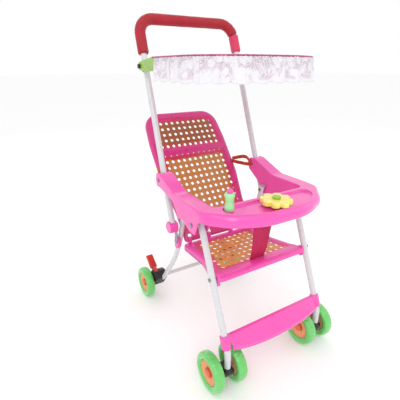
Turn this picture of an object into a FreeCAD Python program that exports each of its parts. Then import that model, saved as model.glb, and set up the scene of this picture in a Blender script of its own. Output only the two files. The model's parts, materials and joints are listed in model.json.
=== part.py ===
"""Folding pushchair with a play tray, a canopy and a perforated seat, in millimetres.

+Z is up, the front faces -Y and +X is the pusher's left. While the pieces are made, y is
measured rearward from the front caster stems; export() then moves everything so that the
origin lies on the ground under the middle of the whole object.
"""
import FreeCAD, Part
import math
import os

V = FreeCAD.Vector
SIDES = (("right", -1), ("left", 1))

# ---- driving dimensions ----
ORIGIN_Y = 277.85             # caster stem datum to the middle of the overall length
WHEEL_R = 56.7
TYRE_WIDTH = 30.0
RIM_R = 36.0                  # where the tyre sits on its hub
AXLE_R = 4.0
PIN_R = 3.0
RUNNING_GAP = 0.05            # radial clearance of every pivot and axle

LEG_R = 9.0                   # front legs and handle tube
REAR_LEG_R = 8.0
TUBE_WALL = 1.2
FRONT_LEG_X = 170.0
REAR_LEG_X = 147.5
LEG_BEND_Z = 122.0            # where the front leg turns straight down
LEG_BEND_R = 45.0
LEG_FOOT_Z = 77.0
STEM_R = 5.0                  # caster stem, inside the leg's solid foot
STEM_TOP_Z = 104.0
REAR_LEG_BEND = (323.0, 254.0)       # (y, z) corner of the rear leg's one long bend
REAR_LEG_BEND_R = 520.0
CROSSBAR_R = 7.0

FOOTREST_HALF = 158.0
FOOTREST_TREAD_HALF = 142.0   # the standing face stands slightly proud of its ends
FOOTREST_TREAD_RISE = 0.6
COLLAR_R = 13.5

PIVOT_ARM = (140.0, 450.0)    # (y, z) armrest on the front legs
PIVOT_REAR = (270.0, 445.0)   # rear legs on the armrest
PIVOT_HANDLE = (339.0, 516.0) # handle on the armrest
PIVOT_SEAT = (80.3, 310.0)    # seat on the front legs
LOCK_POINT = (288.4, 380.0)   # lower end of the handle tube
SEAT_REST = (314.0, 302.0)    # rear leg boss beside the seat's rear corner

HANDLE_FOOT_X = 180.0
HANDLE_TOP = (168.0, 505.0, 963.0)   # virtual top corner of the handle
HANDLE_BEND_R = 48.0
GRIP_R = 16.5
GRIP_END_Z = {-1: 865.0, 1: 876.0}    # by side
GRIP_SEAM_Z = 914.0           # the left-hand sleeve is in two pieces

CASTER_TRAIL = 26.0
CASTER_HALF_TRACK = 36.5
REAR_AXLE = (503.0, WHEEL_R)
REAR_WHEEL_X = 198.0
REAR_LEG_FOOT = (454.0, 86.0)
CROSSBAR = (430.0, 116.0)
LEVER_PIVOT = (476.0, 101.0)

WALL = 3.5                    # moulded shells
ARM_INNER_X = 156.5
ARM_OUTER_X = 199.0
TRAY_FLOOR_Z = 498.0
TRAY_RIM_Z = 504.0
TRAY_SKIRT_Z = 473.0
TRAY_FRONT_Y = -6.0
TRAY_REAR_Y = 98.0

SEAT_FRONT_Y = 64.0
SEAT_REAR_Y = 309.0
SEAT_FRONT_HALF = 158.5
SEAT_REAR_HALF = 135.0
SEAT_FRONT_Z = 312.0
SEAT_REAR_Z = 299.0
SEAT_LIP = 24.0
SEAT_SKIRT = 22.0

BACK_FOOT = (279.0, 305.0)    # lower end of the backrest's front surface
BACK_RECLINE = 38.3           # degrees from upright
BACK_LENGTH = 477.0
BACK_LOW_HALF = 134.0
BACK_HALF = 150.0
BACK_TOP_HALF = 140.0
BACK_DEPTH = 15.0
BACK_BORDER = 25.0
HINGE_UP, HINGE_BACK = 20.0, 9.0     # hinge rod, from BACK_FOOT, in the backrest's own plane
HINGE_LUGS = ((40, 50), (112, 122))  # x ranges of the seat's lugs on the hinge rod
HINGE_KNUCKLES = (54, 108)           # x range of the backrest's knuckle between them

CANOPY_PIVOT = (448.0, 832.0)
CANOPY_Z = 850.0
CANOPY_HALF = 187.0
CANOPY_REAR_Y = 358.0
CANOPY_FRONT_Y = 80.0
CANOPY_ROD_R = 3.0
CANOPY_RADII = [0, 100, 180, 180, 100, 0]
FRILL_DROP = 56.0

PLAY_WHEEL_AT = V(0, 46, TRAY_FLOOR_Z)
PLAY_POST_R = 5.0
ROLLER_AT = V(-128, 74, TRAY_FLOOR_Z)
ROLLER_POST_R = 3.0


# ---- helpers ----
def at(side, x, y, z):
    """Point on one side of the middle plane."""
    return V(side * x, y, z)


def corner_arc(before, corner, after, radius):
    """Start, middle and end of the arc that rounds a corner."""
    back = (before - corner).normalize()
    ahead = (after - corner).normalize()
    half = back.getAngle(ahead) / 2
    inward = (back + ahead).normalize()
    centre = corner + inward * (radius / math.sin(half))
    reach = radius / math.tan(half)
    return corner + back * reach, centre - inward * radius, corner + ahead * reach


def path_edges(points, radii, closed=False):
    """Straight edges and tangent arcs through the points; a radius of 0 keeps a corner sharp."""
    count = len(points)
    arcs = []
    for i, (point, radius) in enumerate(zip(points, radii)):
        if radius and (closed or 0 < i < count - 1):
            arcs.append(corner_arc(points[i - 1], point, points[(i + 1) % count], radius))
        else:
            arcs.append((point, None, point))
    edges = []
    for i in range(count if closed else count - 1):
        start, end = arcs[i][2], arcs[(i + 1) % count][0]
        if start.distanceToPoint(end) > 1e-6:
            edges.append(Part.LineSegment(start, end).toShape())
        arc = arcs[(i + 1) % count]
        if arc[1] is not None:
            edges.append(Part.Arc(*arc).toShape())
    return edges


def swept(points, radii, profile_r):
    path = Part.Wire(path_edges(points, radii))
    ring = Part.Wire(Part.makeCircle(profile_r, points[0], points[1] - points[0]))
    return path.makePipeShell([ring], True, False)


def tube(points, radii, outer_r, wall=TUBE_WALL):
    return swept(points, radii, outer_r).cut(swept(points, radii, outer_r - wall))


def rod(start, end, radius):
    return Part.makeCylinder(radius, start.distanceToPoint(end), start, end - start)


def cross_rod(side, x0, x1, pivot, radius):
    """Cylinder along X about a (y, z) pivot, on one side of the middle plane."""
    return rod(at(side, x0, *pivot), at(side, x1, *pivot), radius)


def plate(corners, thickness, to_space, normal):
    """Flat plate from (a, b, corner radius) points, grown along normal."""
    points = [to_space(a, b) for a, b, _ in corners]
    radii = [r for _, _, r in corners]
    face = Part.Face(Part.Wire(path_edges(points, radii, closed=True)))
    return face.extrude(normal * thickness)


def side_plate(side, x0, x1, corners):
    """Plate in the side view, from (y, z, radius) corners, between two distances from the middle."""
    return plate(corners, (x1 - x0) * side, lambda y, z: at(side, x0, y, z), V(1, 0, 0))


def full_width(half, corners):
    return plate(corners, 2 * half, lambda y, z: V(-half, y, z), V(1, 0, 0))


def plan_plate(z0, z1, corners):
    return plate(corners, z1 - z0, lambda x, y: V(x, y, z0), V(0, 0, 1))


def mirrored(half_corners):
    """Closed outline from the +X half of it, given front to rear."""
    return half_corners + [(-x, y, r) for x, y, r in reversed(half_corners)]


def fuse(*shapes):
    result = shapes[0]
    for shape in shapes[1:]:
        result = result.fuse(shape)
    return result.removeSplitter()


def bore(shape, start, end, radius=PIN_R + RUNNING_GAP):
    return shape.cut(rod(start, end, radius))


def bore_across(shape, pivot, radius=PIN_R + RUNNING_GAP, reach=230.0):
    return bore(shape, V(-reach, *pivot), V(reach, *pivot), radius)


def turned(profile, centre_x, pivot):
    """Solid of revolution about an X axle, from (x offset, radius) points."""
    points = [V(centre_x + x, pivot[0], pivot[1] + r) for x, r in profile]
    wire = Part.makePolygon(points + points[:1])
    return Part.Face(wire).revolve(V(0, *pivot), V(1, 0, 0), 360)


def export(name, shape):
    shape = shape.copy()
    shape.translate(V(0, -ORIGIN_Y, 0))
    if not shape.isValid() or not shape.Solids:
        raise ValueError("bad solid in " + name)
    shape.exportStep(os.path.join("parts", name + ".step"))
    box = shape.BoundBox
    overall.add(box)


def line_y(low, high, z):
    """y at height z on the straight line between two (y, z) points."""
    return low[0] + (high[0] - low[0]) * (z - low[1]) / (high[1] - low[1])


def handle_x(z):
    share = (z - LOCK_POINT[1]) / (HANDLE_TOP[2] - LOCK_POINT[1])
    return HANDLE_FOOT_X + (HANDLE_TOP[0] - HANDLE_FOOT_X) * share


def handle_point(side, z):
    return at(side, handle_x(z), line_y(LOCK_POINT, HANDLE_TOP[1:], z), z)


# ---- front frame ----
def front_leg_points(side):
    """Foot, bend and armrest pivot on the leg's centre line."""
    return [at(side, FRONT_LEG_X, 0, LEG_FOOT_Z), at(side, FRONT_LEG_X, 0, LEG_BEND_Z),
            at(side, FRONT_LEG_X, *PIVOT_ARM)]


def front_leg(side):
    foot, bend, pivot = front_leg_points(side)
    top = pivot + (pivot - bend).normalize() * 13
    solid_foot = foot + V(0, 0, STEM_TOP_Z + 5 - LEG_FOOT_Z)
    leg = swept([top, bend, foot], [0, LEG_BEND_R, 0], LEG_R)
    leg = leg.cut(swept([top, bend, solid_foot], [0, LEG_BEND_R, 0], LEG_R - TUBE_WALL))
    leg = leg.cut(rod(foot - V(0, 0, 1), at(side, FRONT_LEG_X, 0, STEM_TOP_Z + 1), STEM_R + RUNNING_GAP))
    for hole in (PIVOT_ARM, PIVOT_SEAT):
        leg = bore_across(leg, hole, PIN_R)
    return leg


def rivet(side, x0, x1, pivot, radius=PIN_R):
    """Pin along X with a low head at its far end."""
    head = cross_rod(side, x1, x1 + math.copysign(2, x1 - x0), pivot, radius + 2.5)
    return fuse(cross_rod(side, x0, x1, pivot, radius), head)


def footrest():
    """Sloping plate with lips at both edges, between collars on the front legs."""
    body = full_width(FOOTREST_HALF, [
        (26, 150, 2), (26, 168, 5), (14, 168, 5), (-14, 140, 6), (-14, 127, 2),
        (-10.5, 127, 1), (-10.5, 138.5, 4), (15.5, 164.5, 3), (22.5, 164.5, 2), (22.5, 150, 1)])
    shave = FOOTREST_TREAD_RISE * math.sqrt(2)
    for _, side in SIDES:
        body = body.cut(side_plate(side, FOOTREST_TREAD_HALF, FOOTREST_HALF + 1, [
            (-24, 130 - shave, 0), (24, 178 - shave, 0), (24, 190, 0), (-24, 190, 0)]))
    for _, side in SIDES:
        foot, bend, pivot = front_leg_points(side)
        along = (pivot - bend).normalize()
        body = fuse(body, rod(bend + along * 14, bend + along * 52, COLLAR_R))
        body = body.cut(swept([pivot, bend, foot], [0, LEG_BEND_R, 0], LEG_R))
    return body


# ---- wheels ----
def tyre_profile():
    half = TYRE_WIDTH / 2
    outer = []
    for step in range(13):
        angle = math.pi * step / 12
        bulge = abs(math.sin(angle)) ** 0.6
        outer.append((-half * math.cos(angle), WHEEL_R - 11 + 11 * bulge))
    return [(-half, RIM_R + 3), (-half + 3, RIM_R)] + [(half - 3, RIM_R), (half, RIM_R + 3)] + outer[::-1]


def tyre(centre_x, pivot):
    return turned(tyre_profile(), centre_x, pivot)


def hub(centre_x, pivot, outward):
    """Dished wheel centre with a raised boss on its outer face."""
    bore_r = AXLE_R + RUNNING_GAP
    profile = [(-9, bore_r), (-9, RIM_R), (9, RIM_R), (9, RIM_R - 5), (5, RIM_R - 8), (4, 17),
               (8, 14), (9, 11), (9, bore_r)]
    profile = [(x * outward, r) for x, r in profile]
    return turned(profile, centre_x, pivot)


def caster_body(side):
    """Swivel stem, flange and the block that carries both wheels of one caster."""
    stem = rod(at(side, FRONT_LEG_X, 0, 60), at(side, FRONT_LEG_X, 0, STEM_TOP_Z), STEM_R)
    flange = rod(at(side, FRONT_LEG_X, 0, 66), at(side, FRONT_LEG_X, 0, 76), 12)
    block = side_plate(side, FRONT_LEG_X - 17, FRONT_LEG_X + 17, [
        (-13, 68, 5), (13, 68, 5), (39, 62, 9), (39, 46, 9), (20, 42, 6), (-8, 50, 8)])
    body = fuse(stem, flange, block)
    return bore_across(body, (CASTER_TRAIL, WHEEL_R), AXLE_R)


# ---- rear frame ----
def rear_leg_points(side):
    """Upper and lower straights of the rear leg with one long bend between them."""
    top = (PIVOT_REAR[0] - 3.5, PIVOT_REAR[1] + 13)
    return [at(side, REAR_LEG_X, *p) for p in (top, REAR_LEG_BEND, REAR_LEG_FOOT)]


def rear_leg(side):
    leg = tube(rear_leg_points(side), [0, REAR_LEG_BEND_R, 0], REAR_LEG_R)
    for hole, radius in ((PIVOT_REAR, PIN_R + RUNNING_GAP), (SEAT_REST, PIN_R)):
        leg = bore_across(leg, hole, radius)
    return leg.cut(rod(at(side, 100, *CROSSBAR), at(side, REAR_LEG_X, *CROSSBAR), CROSSBAR_R))


def rear_housing(side):
    """Block on the foot of the rear leg that holds the axle and the brake lever."""
    block = side_plate(side, 136, 180, [
        (443, 93, 5), (463, 116, 5), (490, 108, 5), (515, 68, 8), (511, 45, 8), (481, 43, 8)])
    block = block.cut(side_plate(side, 158, 174, [(463, 84, 0), (463, 130, 0), (530, 130, 0), (530, 84, 0)]))
    bend, foot = rear_leg_points(side)[1:]
    block = bore(block, foot, foot + (bend - foot).normalize() * 60, REAR_LEG_R)
    block = fuse(block, cross_rod(side, 157, 175, LEVER_PIVOT, PIN_R))
    return bore_across(block, REAR_AXLE, AXLE_R)


def brake_lever(side):
    y, z = LEVER_PIVOT
    arm = side_plate(side, 158.6, 173.4, [
        (y - 8, z - 7, 6), (y - 8, z + 8, 6), (y + 22, z + 17, 20), (y + 66, z + 46, 4),
        (y + 72, z + 36, 4), (y + 30, z + 4, 18), (y + 8, z - 7, 6)])
    pad = side_plate(side, 151, 180, [
        (y + 40, z + 28, 2), (y + 68, z + 47, 3), (y + 74, z + 36, 3), (y + 46, z + 18, 3)])
    return bore_across(fuse(arm, pad), LEVER_PIVOT)


# ---- armrest and tray, one moulding ----
def ring_outline(inset):
    """Outer outline of the tray and arms in plan; a bowed front and straight sides."""
    half = ARM_OUTER_X - inset
    front = TRAY_FRONT_Y + inset
    return [(70, front, 160), (150, 30 + inset, 70), (half, 84 + inset, 50), (half, 372, 0),
            (-half, 372, 0), (-half, 84 + inset, 50), (-150, 30 + inset, 70), (-70, front, 160)]


def ring_side(drop, reach):
    """Side view of the ring, lowered by drop to make the hollow inside it."""
    y, z = PIVOT_HANDLE
    return [(-30, TRAY_RIM_Z - drop, 0), (235, TRAY_RIM_Z - drop, 60), (y - 12, z + 22 - drop, 14),
            (y + 18 - drop, z + 22 - drop, 14), (y + 18 - drop, z - 18 - reach, 14), (300, 462 - reach, 30),
            (276, 428 - reach, 8), (232, 428 - reach, 30), (196, 448 - reach, 20), (152, 427 - reach, 8),
            (124, 427 - reach, 8), (104, TRAY_SKIRT_Z - reach, 14), (-30, TRAY_SKIRT_Z - reach, 0)]


def armrest_tray():
    outer = plan_plate(400, 580, ring_outline(0)).common(full_width(230, ring_side(0, 0)))
    hollow = plan_plate(380, 580, ring_outline(WALL)).common(full_width(230, ring_side(WALL, 40)))
    inner_wall = full_width(ARM_INNER_X + WALL, ring_side(0, 0))
    inner_wall = inner_wall.cut(full_width(ARM_INNER_X, ring_side(-60, 60)))
    inner_wall = inner_wall.common(Part.makeBox(460, 400, 300, V(-230, TRAY_REAR_Y, 380)))
    rear_wall = Part.makeBox(2 * ARM_INNER_X, WALL, TRAY_RIM_Z - TRAY_SKIRT_Z,
                             V(-ARM_INNER_X, TRAY_REAR_Y, TRAY_SKIRT_Z))
    body = fuse(outer.cut(hollow), inner_wall, rear_wall)
    seat_space = plan_plate(300, 700, [
        (ARM_INNER_X, TRAY_REAR_Y + WALL, 22), (ARM_INNER_X, 500, 0),
        (-ARM_INNER_X, 500, 0), (-ARM_INNER_X, TRAY_REAR_Y + WALL, 22)])
    body = body.cut(seat_space)
    tray_well = plan_plate(TRAY_FLOOR_Z, 520, [
        (72, 5, 150), (135, 34, 60), (150, 88, 14), (-150, 88, 14), (-135, 34, 60), (-72, 5, 150)])
    pan = plan_plate(TRAY_FLOOR_Z - WALL, TRAY_RIM_Z, [
        (72, 1, 150), (139, 30, 60), (154, 94, 14), (-154, 94, 14), (-139, 30, 60), (-72, 1, 150)])
    body = fuse(body, pan).cut(tray_well)
    y, z = PIVOT_HANDLE
    lean = HANDLE_TOP[1] - LOCK_POINT[0], HANDLE_TOP[2] - LOCK_POINT[1]
    for _, side in SIDES:
        body = body.cut(side_plate(side, ARM_INNER_X + WALL, ARM_OUTER_X - WALL, [
            (y - 15, z - 10, 0), (y - 15 + 0.1 * lean[0], z - 10 + 0.1 * lean[1], 0),
            (y + 60, z + 60, 0), (y + 60, z - 40, 0)]))
        body = body.cut(side_plate(side, ARM_INNER_X + WALL, ARM_OUTER_X + 1, [
            (204, 400, 0), (222, 450, 14), (250, 480, 20), (330, 494, 10), (400, 494, 0), (400, 400, 0)]))
    body = bore_across(body, PIVOT_ARM)
    body = bore_across(body, PIVOT_HANDLE, PIN_R)
    return bore_across(body, PIVOT_REAR, PIN_R, ARM_INNER_X + WALL + 1)


def play_wheel():
    """Flower-shaped play wheel that turns on a short post in the tray."""
    petals = Part.makeCylinder(30, 13, PLAY_WHEEL_AT + V(0, 0, 6), V(0, 0, 1))
    for step in range(8):
        angle = math.tau * step / 8
        offset = V(30 * math.cos(angle), 30 * math.sin(angle), 6)
        petals = petals.fuse(Part.makeCylinder(12, 13, PLAY_WHEEL_AT + offset, V(0, 0, 1)))
    petals = petals.removeSplitter()
    return petals.cut(Part.makeCylinder(PLAY_POST_R + RUNNING_GAP, 40, PLAY_WHEEL_AT, V(0, 0, 1)))


def play_wheel_post():
    post = Part.makeCylinder(PLAY_POST_R, 19.5, PLAY_WHEEL_AT, V(0, 0, 1))
    foot = Part.makeCylinder(12, 5, PLAY_WHEEL_AT, V(0, 0, 1))
    cap = Part.makeCylinder(11, 6, PLAY_WHEEL_AT + V(0, 0, 19.5), V(0, 0, 1))
    return fuse(post, foot, cap)


def play_roller():
    bore_r = ROLLER_POST_R + RUNNING_GAP
    profile = [(bore_r, 3), (12, 3), (13, 10), (10, 26), (13, 42), (12, 50), (bore_r, 50)]
    points = [ROLLER_AT + V(r, 0, z) for r, z in profile]
    face = Part.Face(Part.makePolygon(points + points[:1]))
    return face.revolve(ROLLER_AT, V(0, 0, 1), 360)


def play_roller_post():
    post = Part.makeCylinder(ROLLER_POST_R, 50.5, ROLLER_AT, V(0, 0, 1))
    foot = Part.makeCylinder(10, 2.5, ROLLER_AT, V(0, 0, 1))
    cap = Part.makeSphere(8, ROLLER_AT + V(0, 0, 53), V(0, 0, 1), -20, 90, 360)
    return fuse(post, foot, cap)


# ---- handle, lock and canopy ----
def handle_points():
    foot = [at(side, HANDLE_FOOT_X, *LOCK_POINT) for _, side in SIDES]
    top = [at(side, *HANDLE_TOP) for _, side in SIDES]
    return [foot[0], top[0], top[1], foot[1]]


def handle_tube():
    return bore_across(tube(handle_points(), [0, HANDLE_BEND_R, HANDLE_BEND_R, 0], LEG_R), PIVOT_HANDLE)


def handle_sleeve(points, radii):
    inside = swept(handle_points(), [0, HANDLE_BEND_R, HANDLE_BEND_R, 0], LEG_R)
    return swept(points, radii, GRIP_R).cut(inside)


def foam_grip():
    top = [at(side, *HANDLE_TOP) for _, side in SIDES]
    points = [handle_point(-1, GRIP_END_Z[-1]), top[0], top[1], handle_point(1, GRIP_SEAM_Z)]
    return handle_sleeve(points, [0, HANDLE_BEND_R, HANDLE_BEND_R, 0])


def foam_grip_end():
    """Separate lower sleeve on the pusher's left."""
    return handle_sleeve([handle_point(1, GRIP_END_Z[1]), handle_point(1, GRIP_SEAM_Z - 0.4)], [0, 0])


def lock_body(side):
    """Moulded block on the lower end of the handle tube."""
    y, z = LOCK_POINT
    block = side_plate(side, 167, 194, [
        (y - 13, z - 16, 7), (y - 13, z + 12, 9), (y + 12, z + 16, 9),
        (y + 26, z - 8, 7), (y + 6, z - 22, 7)])
    latch_pin = (y + 18, z - 6)
    pin_head = cross_rod(side, 161.6, 163.1, latch_pin, 5)
    block = fuse(block, cross_rod(side, 162.7, 168, latch_pin, PIN_R), pin_head)
    return block.cut(rod(handle_point(side, z), handle_point(side, z + 60), LEG_R))


def lock_latch(side):
    """Pressed steel strip that hooks past the catch on the rear leg."""
    y, z = LOCK_POINT
    strip = side_plate(side, 163.5, 166.5, [
        (y + 20, z + 2, 5), (y + 28, z - 10, 5), (y + 14, z - 46, 8), (y + 22, z - 66, 5),
        (y + 12, z - 70, 5), (y - 2, z - 48, 8), (y + 8, z - 4, 6)])
    return bore_across(strip, (y + 18, z - 6))


def lock_catch(side):
    """Rounded moulded piece on the outer side of the rear leg."""
    y, z = LOCK_POINT
    body = side_plate(side, 150, 161.2, [
        (y + 2, z - 46, 8), (y + 30, z - 50, 8), (y + 31, z - 96, 8), (y + 10, z - 88, 8)])
    return body.cut(swept(rear_leg_points(side), [0, REAR_LEG_BEND_R, 0], REAR_LEG_R))


def canopy_clamp(side):
    """Split collar on the handle tube with a boss for the canopy arm."""
    low = handle_point(side, CANOPY_PIVOT[1] - 14)
    high = handle_point(side, CANOPY_PIVOT[1] + 14)
    centre = handle_point(side, CANOPY_PIVOT[1])
    collar = rod(low, high, LEG_R + 4)
    boss = cross_rod(side, abs(centre.x), 185.5, CANOPY_PIVOT, 9)
    spigot = cross_rod(side, 185.5, 193, CANOPY_PIVOT, 4)
    body = fuse(collar, boss, spigot)
    return body.cut(rod(low - (high - low), high + (high - low), LEG_R))


def canopy_arm(side):
    """Flat arm from the clamp forward to the end of the rim rod."""
    y, z = CANOPY_PIVOT
    arm = side_plate(side, 185.9, 192.5, [
        (y + 11, z + 11, 10), (y + 11, z - 11, 10), (y - 50, z - 14, 8), (y - 88, z - 12, 10),
        (y - 106, z + 10, 6), (y - 106, z + 24, 5), (y - 60, z + 20, 20)])
    arm = bore_across(arm, CANOPY_PIVOT, AXLE_R + RUNNING_GAP)
    rim = swept(canopy_rod_points(), CANOPY_RADII, CANOPY_ROD_R)
    return arm.cut(rim)


def canopy_rod_points(inset=0.0):
    half = CANOPY_HALF - inset
    front = CANOPY_FRONT_Y + inset
    side = [(half, CANOPY_REAR_Y), (half, front + 70), (half / 2, front)]
    right = [V(-x, y, CANOPY_Z) for x, y in side]
    left = [V(x, y, CANOPY_Z) for x, y in reversed(side)]
    return right + left


def canopy_knob(side):
    """Small clamping knob outside the canopy arm."""
    knob = cross_rod(side, 193, 198, CANOPY_PIVOT, 6.5)
    for step in range(6):
        angle = math.tau * step / 6
        notch = (CANOPY_PIVOT[0] + 7.6 * math.cos(angle), CANOPY_PIVOT[1] + 7.6 * math.sin(angle))
        knob = knob.cut(cross_rod(side, 192, 199, notch, 2))
    return knob


def canopy_wire(inset, z):
    """Closed outline of the canopy, straight across its rear edge."""
    points = [V(p.x, p.y, z) for p in canopy_rod_points(inset)]
    radii = [radius * (1 - inset / CANOPY_HALF) for radius in CANOPY_RADII]
    return Part.Wire(path_edges(points, radii, closed=True))


def canopy_fabric():
    """Low dome of cloth over the rim rod, closed and plain."""
    low = Part.Face(canopy_wire(1, CANOPY_Z + 3.3)).extrude(V(0, 0, 2.2))
    high = Part.Face(canopy_wire(40, CANOPY_Z + 5.5)).extrude(V(0, 0, 5))
    return fuse(low, high)


def canopy_frill():
    """Gathered frill as a plain band outside the rim, open at the rear."""
    top = CANOPY_Z + 5
    outer = Part.Face(canopy_wire(-9, top)).extrude(V(0, 0, -FRILL_DROP))
    inner = Part.Face(canopy_wire(-3.4, top)).extrude(V(0, 0, -FRILL_DROP))
    band = outer.cut(inner)
    rear = Part.makeBox(500, 60, 200, V(-250, CANOPY_REAR_Y - 18, CANOPY_Z - 120))
    return band.cut(rear)


# ---- seat and backrest ----
def seat_outline(inset):
    half_front = SEAT_FRONT_HALF - inset
    half_rear = SEAT_REAR_HALF - inset
    return mirrored([(half_front, SEAT_FRONT_Y + inset, 14), (half_front, 100, 20), (half_rear + 1, 184, 60),
                     (half_rear, SEAT_REAR_Y - inset, 10)])


def seat_side(drop, deep):
    return [(SEAT_FRONT_Y - 10, SEAT_FRONT_Z - drop, 0), (SEAT_REAR_Y + 10, SEAT_REAR_Z - drop, 0),
            (SEAT_REAR_Y + 10, SEAT_REAR_Z - SEAT_SKIRT - deep, 0),
            (SEAT_FRONT_Y + 70, SEAT_FRONT_Z - SEAT_SKIRT - 4 - deep, 60),
            (SEAT_FRONT_Y + 24, SEAT_FRONT_Z - SEAT_LIP - deep, 20),
            (SEAT_FRONT_Y - 10, SEAT_FRONT_Z - SEAT_LIP - deep, 0)]


def back_point(up, forward):
    """(y, z) from distances along and in front of the backrest's surface."""
    lean = math.radians(BACK_RECLINE)
    y = BACK_FOOT[0] + up * math.sin(lean) - forward * math.cos(lean)
    z = BACK_FOOT[1] + up * math.cos(lean) + forward * math.sin(lean)
    return y, z


HINGE = back_point(HINGE_UP, -HINGE_BACK)


def seat_shell():
    outer = plan_plate(200, 400, seat_outline(0)).common(full_width(200, seat_side(0, 0)))
    hollow = plan_plate(200, 400, seat_outline(WALL)).common(full_width(200, seat_side(WALL, 60)))
    body = outer.cut(hollow)
    y, z = HINGE
    for _, side in SIDES:
        for x0, x1 in HINGE_LUGS:
            lug = side_plate(side, x0, x1, [
                (y - 7, 296, 0), (y - 7, z + 7, 6), (y + 7, z + 7, 6), (y + 7, 296, 0)])
            body = fuse(body, lug)
        ear = side_plate(side, SEAT_FRONT_HALF - 8, SEAT_FRONT_HALF, [
            (PIVOT_SEAT[0] - 10, PIVOT_SEAT[1] - 24, 5), (PIVOT_SEAT[0] - 10, PIVOT_SEAT[1] + 7, 6),
            (PIVOT_SEAT[0] + 10, PIVOT_SEAT[1] + 7, 6), (PIVOT_SEAT[0] + 10, PIVOT_SEAT[1] - 24, 5)])
        body = fuse(body, ear)
    body = bore_across(body, PIVOT_SEAT)
    return bore_across(body, HINGE, AXLE_R + RUNNING_GAP)


def back_outline(inset):
    low, half, top_half = BACK_LOW_HALF - inset, BACK_HALF - inset, BACK_TOP_HALF - inset
    top = BACK_LENGTH - inset
    return mirrored([(low, 12 + inset, 8), (low, 112, 60), (half, 215, 120),
                     (half, 360, 120), (top_half, top, 58)])


def back_plate(inset, front, rear):
    """Slab in the backrest's plane between two depths behind its surface."""
    normal = V(0, back_point(0, -1)[0] - BACK_FOOT[0], back_point(0, -1)[1] - BACK_FOOT[1])
    return plate(back_outline(inset), rear - front, lambda x, up: V(x, *back_point(up, -front)), normal)


def backrest_shell():
    body = back_plate(0, 0, BACK_DEPTH)
    body = body.cut(back_plate(BACK_BORDER, -1, 3))
    body = body.cut(back_plate(WALL, 7, BACK_DEPTH + 1))
    for _, side in SIDES:
        body = fuse(body, cross_rod(side, *HINGE_KNUCKLES, HINGE, 8))
        for x0, x1 in HINGE_LUGS:
            body = body.cut(cross_rod(side, x0 - 0.6, x1 + 0.6, HINGE, 13))
    return bore_across(body, HINGE, AXLE_R + RUNNING_GAP)


def recline_strap(side):
    """Webbing between the backrest's edge and the handle bracket."""
    return side_plate(side, 151.6, 154.4, [(350, 508, 3), (350, 530, 3), (447, 520, 3), (447, 500, 3)])


def crotch_strap():
    """Broad webbing from the tray's rear wall down to the seat."""
    top_y, low_y = TRAY_REAR_Y - 14, 104.0
    top_z, low_z = TRAY_SKIRT_Z - 0.4, 311.0
    points = [V(-29, top_y, top_z), V(29, top_y, top_z), V(20, low_y, low_z), V(-20, low_y, low_z)]
    return Part.Face(Part.makePolygon(points + points[:1])).extrude(V(0, 2.5, 0))


# ---- build ----
overall = FreeCAD.BoundBox()


def build_front_frame():
    export("footrest", footrest())
    export("seat_pivot_rivets", Part.makeCompound([
        rivet(side, SEAT_FRONT_HALF - 9, FRONT_LEG_X + LEG_R, PIVOT_SEAT) for _, side in SIDES]))
    export("armrest_pivot_rivets", Part.makeCompound([
        rivet(side, ARM_INNER_X - 2, ARM_OUTER_X + 0.3, PIVOT_ARM) for _, side in SIDES]))
    for name, side in SIDES:
        export("front_leg_" + name, front_leg(side))
        export("caster_body_" + name, caster_body(side))
        axle_at = (CASTER_TRAIL, WHEEL_R)
        x0, x1 = FRONT_LEG_X - CASTER_HALF_TRACK, FRONT_LEG_X + CASTER_HALF_TRACK
        for place, centre, outward in (("inner", x0, -1), ("outer", x1, 1)):
            label = place + "_" + name
            export("caster_tyre_" + label, tyre(side * centre, axle_at))
            export("caster_hub_" + label, hub(side * centre, axle_at, side * outward))
        axle = fuse(cross_rod(side, x0 - 11, x1 + 11, axle_at, AXLE_R),
                    cross_rod(side, x0 - 13, x0 - 9.4, axle_at, 7),
                    cross_rod(side, x1 + 9.4, x1 + 13, axle_at, 7))
        export("caster_axle_" + name, axle)


def build_rear_frame():
    crossbar = rod(V(-REAR_LEG_X, *CROSSBAR), V(REAR_LEG_X, *CROSSBAR), CROSSBAR_R)
    for _, side in SIDES:
        crossbar = crossbar.cut(swept(rear_leg_points(side), [0, REAR_LEG_BEND_R, 0], REAR_LEG_R - TUBE_WALL))
    export("rear_crossbar", crossbar)
    for name, side in SIDES:
        export("rear_leg_" + name, rear_leg(side))
        export("rear_housing_" + name, rear_housing(side))
        export("rear_tyre_" + name, tyre(side * REAR_WHEEL_X, REAR_AXLE))
        export("rear_hub_" + name, hub(side * REAR_WHEEL_X, REAR_AXLE, side))
        axle_end = cross_rod(side, REAR_WHEEL_X + 9.4, REAR_WHEEL_X + 13, REAR_AXLE, 7)
        axle = fuse(cross_rod(side, 140, REAR_WHEEL_X + 11, REAR_AXLE, AXLE_R), axle_end)
        export("rear_axle_" + name, axle)
        export("brake_lever_" + name, brake_lever(side))
        export("lock_catch_" + name, lock_catch(side))


def build_upper_frame():
    export("armrest_tray", armrest_tray())
    export("handle_pivot_rivets", Part.makeCompound([
        rivet(side, ARM_INNER_X - 2, ARM_OUTER_X + 0.3, PIVOT_HANDLE) for _, side in SIDES]))
    export("rear_leg_rivets", Part.makeCompound([
        rivet(side, ARM_INNER_X + WALL, REAR_LEG_X - REAR_LEG_R - 0.6, PIVOT_REAR) for _, side in SIDES]))
    export("play_wheel", play_wheel())
    export("play_wheel_post", play_wheel_post())
    export("play_roller", play_roller())
    export("play_roller_post", play_roller_post())
    export("handle_tube", handle_tube())
    export("foam_grip", foam_grip())
    export("foam_grip_end", foam_grip_end())
    for name, side in SIDES:
        export("lock_body_" + name, lock_body(side))
        export("lock_latch_" + name, lock_latch(side))


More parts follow.
